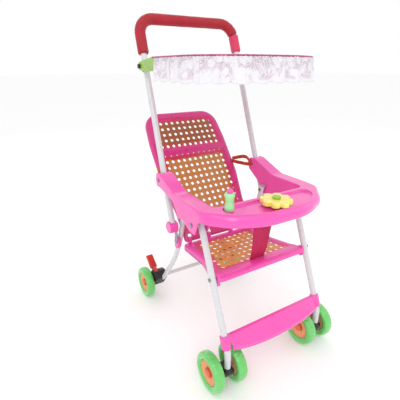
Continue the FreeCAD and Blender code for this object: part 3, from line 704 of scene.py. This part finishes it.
def make_wheel(label, tyre_node, hub_node, body, outward):
    """Tyre with its tread, dished hub and a centre cap darker as painted shade; outward is the cap's side."""
    low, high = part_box(tyre_node)
    centre = (low + high) / 2
    tyre = lathe(label + "_tyre", tyre_profile(), centre, 240, tread)
    place(tyre, TYRE, body, "tyre_green", tyre_node)
    disc = [(-9, 4.2), (-9, 34), (-8, RIM_R), (8.4, RIM_R), (9.4, 35), (9.4, 33.6), (8, 32.4),
            (5.6, 31), (5, 29.5), (4.2, 21), (4.4, 19.6), (6.2, 18.6), (6.6, 17.4), (6.2, 16),
            (3.6, 14.8), (3.4, 13.4), (3.4, 4.2)]
    hub = lathe(label + "_hub", [(x * outward, r) for x, r in disc], centre, 72)
    place(hub, HUB, body, "hub_peach", hub_node)
    dome = [(3.0, 13.2), (11.2, 12.6), (12.6, 11.8), (13.6, 9.8), (14.2, 6), (14.4, 1.5),
            (14.4, 0.05), (13.4, 0.05), (13.2, 7.6), (9, 9), (3.0, 9)]
    cap = lathe(label + "_cap", [(x * outward, r) for x, r in dome], centre, 48)
    place(cap, HUB_CENTRE_SHADE, body, "hub_peach")


def make_wheels():
    for name, side in SIDES:
        make_wheel("rear_" + name, "rear_tyre_" + name, "rear_hub_" + name,
                   "rear_wheel_" + name, side)
        for spot, way in (("inner", -1), ("outer", 1)):
            label = spot + "_" + name
            make_wheel("caster_" + label, "caster_tyre_" + label, "caster_hub_" + label,
                       "caster_wheel_" + label, side * way)


# ---- handle grips ----
def handle_point(side, z):
    """Point on the handle tube's centre line at a height in millimetres."""
    share = (z - HANDLE_FOOT[2]) / (HANDLE_TOP[2] - HANDLE_FOOT[2])
    x = HANDLE_FOOT[0] + (HANDLE_TOP[0] - HANDLE_FOOT[0]) * share
    return at(side * x, HANDLE_FOOT[1] + (HANDLE_TOP[1] - HANDLE_FOOT[1]) * share, z)


def make_grip(name, path, look, slot, bends):
    """Foam sleeve: ends rolled in, a little squeezed and wrinkled on the inside of the bends."""
    last = len(path) - 1

    def radius(i, angle):
        from_end = min(i, last - i) * GRIP_STEP
        end = 1 - 0.16 * max(0.0, 1 - from_end / 5) ** 2
        swell = noise.noise(path[i] * 38) * 0.35
        soft = noise.noise(path[i] * 90 + Vector((angle, 0, 0))) * 0.15
        crease = 0.0
        for bend in bends:
            near = math.exp(-((path[i] - bend).length / 0.02) ** 2)
            crease += near * 0.75 * max(0.0, math.sin(i * 0.9)) * (0.5 + 0.5 * math.cos(2 * angle))
        return (GRIP_R - 0.5 + swell + soft - crease) * end * MM

    sleeve = sweep(name + "_sleeve", path, radius, 40)
    place(sleeve, look, "handle", slot, name)


def make_grips():
    """Red sleeve round the handle, and the paler piece from the left bend down."""
    tops = [at(side * HANDLE_TOP[0], HANDLE_TOP[1], HANDLE_TOP[2]) for _, side in SIDES]
    inner = [top + Vector((-side * 16, -2, -14)) * MM for top, (_, side) in zip(tops, SIDES)]
    corners = [handle_point(-1, GRIP_END_Z[-1]), tops[0], tops[1], handle_point(1, GRIP_END_Z[1])]
    bend = HANDLE_BEND_R * MM
    path = spaced(rounded(corners, [0, bend, bend, 0], 14), GRIP_STEP * MM)
    seam = next(i for i, p in enumerate(path) if p.x > 0 and p.z < GRIP_SEAM_Z * MM)
    make_grip("foam_grip", path[:seam], FOAM_RED, "foam_red", inner)
    make_grip("foam_grip_end", path[seam:], FOAM_PINK, "foam_pink", [])


# ---- perforated shells ----
def offset_loop(outline, reach):
    """Outline moved inward by reach along its own normals."""
    ahead = np.roll(outline, -1, axis=0) - np.roll(outline, 1, axis=0)
    ahead /= np.linalg.norm(ahead, axis=1)[:, None]
    following = np.roll(outline, -1, axis=0)
    turn = np.sum(outline[:, 0] * following[:, 1] - following[:, 0] * outline[:, 1])
    normal = np.stack([-ahead[:, 1], ahead[:, 0]], axis=1) * (1 if turn > 0 else -1)
    return outline + normal * reach


def inside(points, outline):
    """True for 2-D points within a closed outline."""
    x, y = points[:, 0], points[:, 1]
    result = np.zeros(len(points), bool)
    for a, b in zip(outline, np.roll(outline, -1, axis=0)):
        crosses = (a[1] > y) != (b[1] > y)
        if a[1] != b[1]:
            result ^= crosses & (x < (b[0] - a[0]) * (y - a[1]) / (b[1] - a[1]) + a[0])
    return result


def ring(centre, radius, count):
    """Rounded octagon, the shape of one opening in the cane pattern."""
    points = []
    for k in range(count):
        angle = math.tau * (k + 0.5) / count
        reach = radius * (1 - 0.045 * math.cos(8 * angle))
        points.append((centre[0] + reach * math.cos(angle), centre[1] + reach * math.sin(angle)))
    return points


def perforated(name, outline, panel_depth, hole_rows, notches, surface, back_step, skirt):
    """Moulded shell with real holes and its rim turned back by skirt(point) along back_step.

    outline is in millimetres; panel_depth(points, edge) says how far inside a perforated panel a
    point lies; surface(points, edge, depth, swell) gives 3-D points. A hole that would cross the
    panel's edge is a small one. notches are (x from, x to, up) cuts in the lower edge.
    """
    loops = [outline]
    loops += [offset_loop(outline, reach) for reach in (0.8, 2, 4, 6.5, 10, 15, 19, 22, 25)]
    holes = []
    for centre in hole_rows:
        where = np.array([centre])
        edge, _ = edge_distance(where, outline)
        if not inside(where, outline)[0]:
            continue
        depth = panel_depth(where, edge)[0]
        if depth > 0.36 * HOLE_PITCH:
            holes.append((centre, HOLE_R))
        elif depth > -1.5:
            holes.append((centre, SMALL_HOLE_R))
    verts, edges = [], []

    def add_loop(points):
        first = len(verts)
        verts.extend(Vector(p) for p in points)
        edges.extend((first + i, first + (i + 1) % len(points)) for i in range(len(points)))

    for loop in loops:
        add_loop([tuple(p) for p in loop])
    for centre, radius in holes:
        full = radius == HOLE_R
        add_loop(ring(centre, radius, 16 if full else 8))
        if full:
            add_loop(ring(centre, radius + 1.7, 16))
    for x0, x1, up in notches:
        add_loop([(x0, -10), (x1, -10), (x1, up), (x0, up)])
    centres = np.array([c for c, _ in holes])
    reaches = np.array([r for _, r in holes])
    low, high = outline.min(axis=0), outline.max(axis=0)
    step = HOLE_PITCH / 4
    spread = np.array([(x, y) for x in np.arange(low[0], high[0], step)
                       for y in np.arange(low[1], high[1], step)])
    edge, _ = edge_distance(spread, outline)
    apart = np.linalg.norm(spread[:, None, :] - centres[None], axis=2) - reaches[None]
    free = inside(spread, outline) & (edge > 27) & (apart.min(axis=1) > 3.2)
    verts.extend(Vector(point) for point in spread[free])
    cut = delaunay_2d_cdt(verts, edges, [], 0, 1e-5)
    points, faces = np.array([tuple(p) for p in cut[0]]), cut[2]
    middle = np.array([points[list(f)].mean(axis=0) for f in faces])
    keep = inside(middle, offset_loop(outline, 0.05))
    away = np.linalg.norm(middle[:, None, :] - centres[None], axis=2)
    keep &= (away > reaches[None] * 0.965).all(axis=1)
    for x0, x1, up in notches:
        keep &= ~((middle[:, 0] > x0) & (middle[:, 0] < x1) & (middle[:, 1] < up))
    faces = [f for f, ok in zip(faces, keep) if ok]
    edge, _ = edge_distance(points, outline)
    depth = panel_depth(points, edge)
    apart = (np.linalg.norm(points[:, None, :] - centres[None], axis=2) - reaches[None]).min(axis=1)
    swell = 0.8 * smooth_step(apart, 4.0, 1.2) * smooth_step(apart, -0.3, 1.2)
    swell *= smooth_step(depth, 4, 9)
    shell = mesh_object(name, surface(points, edge, depth, swell), faces)
    unwrap(shell, points * MM)
    mesh = shell.data
    # lower is 1 below the middle band; above it the backrest's brown turns to its darker high, painted canopy
    # shadow
    below = smooth_step(points[:, 1], BACK_BAND_UP + 5, BACK_BAND_UP - 15)
    for label, values in (("spray", smooth_step(depth, -6, 34)), ("lower", below)):
        stored = mesh.attributes.new(label, "FLOAT", "POINT")
        stored.data.foreach_set("value", values.astype(np.float32))
    edge, _ = edge_distance(outline, outline)
    rim = surface(outline, edge, panel_depth(outline, edge), 0 * edge)

    def on_rim(vert):
        return np.linalg.norm(rim - np.array(vert.co), axis=1).min() < 0.0004

    shape = bmesh.new()
    shape.from_mesh(mesh)
    bmesh.ops.delete(shape, geom=[v for v in shape.verts if not v.link_faces], context="VERTS")
    rim_edges = [e for e in shape.edges if e.is_boundary and all(on_rim(v) for v in e.verts)]
    grown = bmesh.ops.extrude_edge_only(shape, edges=rim_edges)
    for vert in [g for g in grown["geom"] if isinstance(g, bmesh.types.BMVert)]:
        vert.co += Vector(back_step) * skirt(vert.co) * MM
    bmesh.ops.recalc_face_normals(shape, faces=shape.faces)
    shape.to_mesh(mesh)
    shape.free()
    modify(shell, "SOLIDIFY", thickness=SHELL_WALL * MM, offset=-1.0)
    return apply_modifiers(shell)


def back_space(points, forward):
    """Row-frame points from (x, up) on the backrest's plane and distances in front of it."""
    up = points[:, 1]
    y = BACK_FOOT[0] + up * math.sin(BACK_RECLINE) - forward * math.cos(BACK_RECLINE)
    z = BACK_FOOT[1] + up * math.cos(BACK_RECLINE) + forward * math.sin(BACK_RECLINE)
    return np.stack([points[:, 0] * MM, y * MM + DATUM_Y, z * MM], axis=1)


def hinge_point():
    """Middle of the hinge between seat and backrest."""
    return Vector(back_space(np.array([[0.0, HINGE_UP]]), np.array([-HINGE_BACK]))[0])


def roll_back(edge, radius, drop):
    """Height of a rolled edge: a quarter round that falls away towards the outline."""
    t = np.clip(edge / radius, 0, 1)
    return -drop * (1 - np.sqrt(1 - (1 - t) ** 2))


def relief(edge, depth, radius, drop, swell):
    """Height over the shell's plane: rolled edge, low ridge beside it and sunken panel."""
    ridge = 0.8 * np.exp(-((edge - 12) / 6) ** 2)
    return roll_back(edge, radius, drop) + ridge - 2.6 * smooth_step(depth, -2, 5) + swell - 1.0


def hole_grid(rows_from, rows_to):
    """Centres of a square grid, symmetric about x = 0 and wider than either shell."""
    rows = int((rows_to - rows_from) / HOLE_PITCH)
    return [(HOLE_PITCH * i, rows_from + HOLE_PITCH * r) for r in range(rows + 1) for i in range(-6, 7)]


def make_backrest():
    """Tall shell with two perforated panels, and the knuckles of its hinge."""
    outline = plan_outline(BACK_OUTLINE, 5)

    def panel_depth(points, edge):
        return np.minimum(edge - 24, np.abs(points[:, 1] - BACK_BAND_UP) - 12)

    def surface(points, edge, depth, swell):
        return back_space(points, relief(edge, depth, 8, 8, swell))

    rows = hole_grid(46, BACK_BAND_UP - 14) + hole_grid(BACK_BAND_UP + 22, 470)
    rows += [(x * HOLE_PITCH / 2, BACK_BAND_UP) for x in range(-11, 12)]
    notches = []
    for a, b in HINGE_LUGS:
        notches += [(-b - 1.5, -a + 1.5, 35), (a - 1.5, b + 1.5, 35)]
    back_step = (0, math.cos(BACK_RECLINE), -math.sin(BACK_RECLINE))
    shell = perforated("backrest_panel", outline, panel_depth, rows, notches, surface, back_step,
                       lambda co: 5.0)
    place(shell, SPRAYED_BACK_SHADED, "backrest", "back_plastic", "backrest_shell")
    x0, x1 = HINGE_KNUCKLES
    knuckle = [(x0, 4.2), (x0, 7), (x0 + 1, 8), (x1 - 1, 8), (x1, 7), (x1, 4.2)]
    for name, side in SIDES:
        profile = [(side * x, r) for x, r in knuckle]
        made = lathe("backrest_knuckle_" + name, profile, hinge_point(), 32)
        place(made, PINK_SHADED, "backrest", "back_plastic")


def make_seat():
    """Seat shell with one perforated panel, its hinge lugs and its ears on the front legs."""
    outline = plan_outline(SEAT_OUTLINE, 5)
    slope = (SEAT_REAR[1] - SEAT_FRONT[1]) / (SEAT_REAR[0] - SEAT_FRONT[0])

    def panel_depth(points, edge):
        return np.minimum(edge - 21, points[:, 1] - 102)

    def surface(points, edge, depth, swell):
        front = smooth_step(points[:, 1], 104, 74)
        z = SEAT_FRONT[1] + slope * (points[:, 1] - SEAT_FRONT[0])
        z += relief(edge, depth, 8 + 8 * front, 8 + 2 * front, swell)
        z += 4.0 * smooth_step(points[:, 1], 130, 84)
        return np.stack([points[:, 0] * MM, points[:, 1] * MM + DATUM_Y, z * MM], axis=1)

    def skirt(co):
        front = float(smooth_step((co.y - DATUM_Y) / MM, 134, 80))
        return 13.0 - 11.0 * front

    shell = perforated("seat_panel", outline, panel_depth, hole_grid(118, 300), [], surface,
                       (0, 0, -1), skirt)
    place(shell, SPRAYED_SEAT, "seat", "pink_plastic", "seat_shell")
    _, y, z = hinge_point()
    y, z = (y - DATUM_Y) / MM, z / MM
    lug = [(y - 7, 296, 1), (y - 7, z + 7, 6), (y + 7, z + 7, 6), (y + 7, 296, 1)]
    y, z = PIVOT_SEAT
    ear = [(y - 10, z - 24, 5), (y - 10, z + 7, 6), (y + 10, z + 7, 6), (y + 10, z - 24, 5)]
    for name, side in SIDES:
        parts = [side_block("lug", side * a, side * b, lug) for a, b in HINGE_LUGS]
        parts.append(side_block("ear", side * 150.5, side * 158.5, ear))
        place(joined("seat_brackets_" + name, parts), PINK, "seat", "pink_plastic")


# ---- straps ----
def ribbon(name, path, width_at, thickness, across):
    """Webbing along a path, slightly cupped; width_at(share) in metres, across its direction."""
    columns = 9
    verts, flat = [], []
    run = 0.0
    for i, point in enumerate(path):
        share = i / (len(path) - 1)
        if i:
            run += (point - path[i - 1]).length
        half = width_at(share) / 2
        along = (path[min(i + 1, len(path) - 1)] - path[max(i - 1, 0)]).normalized()
        out = along.cross(across).normalized()
        for j in range(columns):
            t = 2 * j / (columns - 1) - 1
            cup = 0.0009 * t * t + 0.0004 * math.sin(run * 90 + t * 3)
            verts.append(point + across * (half * t) + out * cup)
            flat.append((half * t, run))
    strap = mesh_object(name, verts, grid_faces(len(path), columns))
    unwrap(strap, flat)
    modify(strap, "SOLIDIFY", thickness=thickness, offset=0.0)
    modify(strap, "BEVEL", width=thickness * 0.3, segments=2, limit_method="ANGLE")
    return apply_modifiers(strap)


def curve_through(points, count):
    """Smooth path through a few points."""
    path = []
    for i in range(len(points) - 1):
        before, a = points[max(i - 1, 0)], points[i]
        b, after = points[i + 1], points[min(i + 2, len(points) - 1)]
        for step in range(count):
            t = step / count
            path.append(0.5 * ((2 * a) + (b - before) * t + (2 * before - 5 * a + 4 * b - after) * t * t
                               + (3 * a - before - 3 * b + after) * t ** 3))
    return path + [points[-1]]


def make_crotch_strap():
    """Wide strap from under the tray down to the seat, narrower at its lower end."""
    route = ((84.5, 472.4), (88, 440), (91.5, 400), (97, 345), (105, 310.5))
    points = [at(0, y, z) for y, z in route]
    strap = ribbon("crotch_webbing", curve_through(points, 28),
                   lambda share: (72 - 20 * share) * MM, 0.0022, Vector((1, 0, 0)))
    place(strap, STRAP_CRIMSON, "armrest", "webbing_crimson", "crotch_strap")
    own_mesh(strap)


def make_recline_straps():
    """A loop of webbing on each side: a slack upper strand and a tight lower one."""
    made = []
    wide = Vector((0, 0.2, 1)).normalized()
    for _, side in SIDES:
        upper = ((153, 350, 526), (154, 368, 534), (154.5, 396, 530), (150.6, 446, 513))
        lower = ((153, 350, 513), (153, 385, 508), (150.6, 447, 503))
        for route in (upper, lower):
            path = curve_through([at(side * x, y, z) for x, y, z in route], 10)
            made.append(ribbon("strand", path, lambda share: 0.012, 0.003, wide))
        made.append(side_block("strap_anchor", side * 151.5, side * 155.5, [
            (343, 508, 3), (343, 531, 3), (354, 530, 3), (354, 507, 3)], 0.8))
    straps = joined("recline_webbing", made)
    place(straps, STRAP_RED, "armrest", "webbing_red", "recline_straps")
    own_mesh(straps)


# ---- canopy ----
def rim_path(outset, z, step):
    """Points along the rim rod's route from the rear right to the rear left, moved outward by
    outset millimetres, and the way out at each."""
    corners = [Vector((x, y, 0)) for x, y, _ in reversed(CANOPY_PATH)]
    radii = [r for _, _, r in reversed(CANOPY_PATH)]
    line = spaced(rounded(corners, radii, 16), step / MM)
    flat = np.array([tuple(p)[:2] for p in line])
    ahead = np.gradient(flat, axis=0)
    ahead /= np.linalg.norm(ahead, axis=1)[:, None]
    outward = np.stack([ahead[:, 1], -ahead[:, 0]], axis=1)
    moved = flat + outward * outset
    return [at(x, y, z) for x, y in moved], [Vector((x, y, 0)) for x, y in outward]


def make_canopy_cloth():
    """Cloth top pulled over the rod, with a short skirt down outside it."""
    edge, outward = rim_path(3.4, CANOPY_Z, 0.004)
    count = len(edge)
    rings, rise, skirt = 14, 3.6, 23
    waves = [math.sin(i * 0.9 + 2 * math.sin(i * 0.13)) for i in range(count)]
    middle = at(0, 235, CANOPY_Z)
    verts = [middle + Vector((0, 0, 2 * rise * MM))]
    flat = [(middle.x, middle.y)]
    for step in range(1, rings + 1):
        share = step / rings
        for point, wave in zip(edge, waves):
            spot = middle + (point - middle) * share
            lift = rise * (2 - share ** 2.6) + 0.4 * share ** 6 * wave
            verts.append(Vector((spot.x, spot.y, (CANOPY_Z + lift) * MM)))
            flat.append((spot.x, spot.y))
    for k, (drop, out) in enumerate(((-2.2, 0.0), (2, 0.4), (8, 0.6), (15, 0.8), (skirt, 1.0))):
        for point, way, wave in zip(edge, outward, waves):
            reach = out + 0.5 * wave * max(0, drop) / skirt
            verts.append(point + way * (reach * MM) + Vector((0, 0, -drop * MM)))
            flat.append((verts[-1].x, verts[-1].y - 0.004 * (k + 1)))
    faces = [(0, 1 + i, 1 + (i + 1) % count) for i in range(count)]
    for k in range(rings + 4):
        a, b = 1 + k * count, 1 + (k + 1) * count
        for i in range(count if k < rings - 1 else count - 1):
            j = (i + 1) % count
            faces.append((a + i, b + i, b + j, a + j))
    top = mesh_object("canopy_cloth_top", verts, faces)
    unwrap(top, flat)
    tidy_normals(top)
    modify(top, "SOLIDIFY", thickness=0.0007, offset=0.0)
    modify(top, "SUBSURF", levels=1, render_levels=1)
    apply_modifiers(top)
    place(top, CANOPY, "canopy", "canopy_cloth", "canopy_fabric")
    line, _ = rim_path(4.6, CANOPY_Z + 3.4, 0.005)
    piping = sweep("canopy_piping", line, lambda i, _: (2.4 + 0.15 * math.sin(i * 1.7)) * MM, 10)
    piping.data.uv_layers.new(name="UVMap")
    place(piping, PIPING, "canopy", "canopy_cloth")


def make_frill():
    """Gathered lace: fine pleats under the piping that open into wide lobes at the lower edge."""
    route = zip(*rim_path(0, CANOPY_Z + 3, 0.0015))
    route = [(point, way) for point, way in route if point.y < at(0, FRILL_REAR_Y, 0).y]
    rows, height = 26, 56 * MM
    fold = run = 0.0
    verts, flat = [], []
    for i, (point, way) in enumerate(route):
        drift = noise.noise(Vector((i * 0.011, 3.1, 0)))
        bell = noise.noise(Vector((i * 0.02, 0.4, 7)))
        fold += 1.5 / (50 + 30 * drift) * math.tau
        along = Vector((-way.y, way.x, 0))
        scallop = abs(math.sin(fold / 2 + 0.8)) ** 0.45
        drop = 49 + 9 * scallop + 1.0 * abs(math.sin(2.5 * fold)) + 2.0 * bell
        for k in range(rows):
            t = k / (rows - 1)
            lobe = (5.4 + 2.0 * bell) * t ** 0.7 * (1 - math.cos(fold + 1.6 + 0.7 * t * bell))
            crease = 1.3 * t * math.sin(2.37 * fold + 3 * bell)
            pleat = 0.55 * (1 - t) ** 0.7 * math.sin(4.6 * fold + 2 * drift)
            ruffle = 0.9 * noise.noise(Vector((i * 0.07, t * 4, 1)))
            out = max(5.0, 5.8 + lobe + crease + pleat + ruffle)
            sway = 3.4 * t * math.sin(2 * fold + bell) + 1.2 * t * bell
            verts.append(point + way * (out * MM) + along * (sway * MM) + Vector((0, 0, -drop * t * MM)))
        if i:
            run += (verts[-1] - verts[-1 - rows]).length
        flat += [(run, height * k / (rows - 1)) for k in range(rows)]
    frill = mesh_object("canopy_lace", verts, grid_faces(len(route), rows))
    unwrap(frill, flat)
    modify(frill, "SOLIDIFY", thickness=0.0005, offset=0.0)
    apply_modifiers(frill)
    place(frill, LACE, "canopy", "lace_white", "canopy_frill")


# ---- stage, in metres and watts ----
FLOOR = 40
MIDDLE = Vector((0, 0, 0.5))
LAMPS = (("key", (-1.5, -2.2, 2.6), 2.2, 32), ("fill", (2.4, -1.4, 1.6), 1.6, 4),
         ("back", (0.4, 2.4, 2.4), 1.8, 8))
LENS = 30.1
CAMERA_AT = (-578, -539.4, 830.4)
HEADING, TILT = math.radians(30.82), math.radians(21.72)


def make_stage():
    """Pale floor, even white sky and three soft lamps."""
    floor = mesh_object("floor", [(-FLOOR, -FLOOR, 0), (FLOOR, -FLOOR, 0), (FLOOR, FLOOR, 0),
                                  (-FLOOR, FLOOR, 0)], [(0, 1, 2, 3)])
    look = Look("floor_pale", (253, 253, 253), 0.7)
    tone = look.mixed(look.noise(3, 3), look.colour, srgb(250, 250, 251))
    floor.data.materials.append(look.finish(tone))
    world = bpy.context.scene.world or bpy.data.worlds.new("studio")
    bpy.context.scene.world = world
    world.use_nodes = True
    sky = world.node_tree.nodes["Background"]
    sky.inputs["Color"].default_value = (1.0, 1.0, 1.0, 1)
    sky.inputs["Strength"].default_value = 1.0
    for name, spot, size, power in LAMPS:
        light = bpy.data.lights.new(name, "AREA")
        light.size = size
        light.energy = power
        lamp = bpy.data.objects.new(name, light)
        lamp.location = spot
        aim = MIDDLE - Vector(spot)
        lamp.rotation_euler = aim.to_track_quat("-Z", "Y").to_euler()
        bpy.context.scene.collection.objects.link(lamp)
    bpy.context.scene.view_settings.view_transform = "Standard"


def make_camera():
    """Camera turned by HEADING from +Y towards +X and looking down by TILT."""
    camera = bpy.data.objects.new("camera", bpy.data.cameras.new("camera"))
    camera.data.sensor_width = 36.0
    camera.data.lens = LENS
    ahead = Vector((math.sin(HEADING) * math.cos(TILT), math.cos(HEADING) * math.cos(TILT),
                    -math.sin(TILT)))
    right = Vector((math.cos(HEADING), -math.sin(HEADING), 0))
    up = right.cross(ahead)
    turn = Matrix((right, up, -ahead)).transposed().to_4x4()
    camera.matrix_world = Matrix.Translation(at(*CAMERA_AT)) @ turn
    bpy.context.scene.collection.objects.link(camera)
    bpy.context.scene.camera = camera


make_camera()
make_stage()
dress_frame()
make_moulded()
make_levers()
make_footrest()
make_tray()
make_wheels()
make_grips()
make_backrest()
make_seat()
make_crotch_strap()
make_recline_straps()
make_canopy_cloth()
make_frill()
